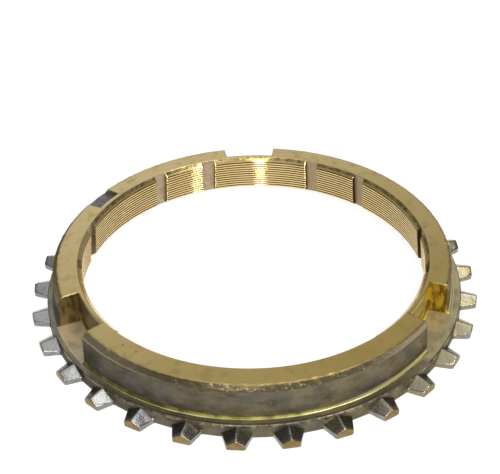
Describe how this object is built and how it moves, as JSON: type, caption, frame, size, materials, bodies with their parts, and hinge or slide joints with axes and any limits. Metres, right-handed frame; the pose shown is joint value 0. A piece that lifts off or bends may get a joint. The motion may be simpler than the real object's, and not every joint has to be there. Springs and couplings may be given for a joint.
{
  "type": "synchronizer ring",
  "caption": "One-piece brass gearbox synchronizer ring with roof-pointed dog teeth, a grooved friction cone and strut notches.",
  "frame": {"origin": "on the ring's axis, in the plane of the toothed gear-side face that it lies on", "axes": "+Z along the ring's axis, from the gear-side face to the hub-side face; +Y through the middle of one strut notch"},
  "size_m": [0.0722, 0.0722, 0.0077],
  "materials": {
    "brass": "satin machined faces, as-cast outer wall"
  },
  "bodies": {
    "root": {"synchronizer_ring": "brass"}
  },
  "joints": []
}
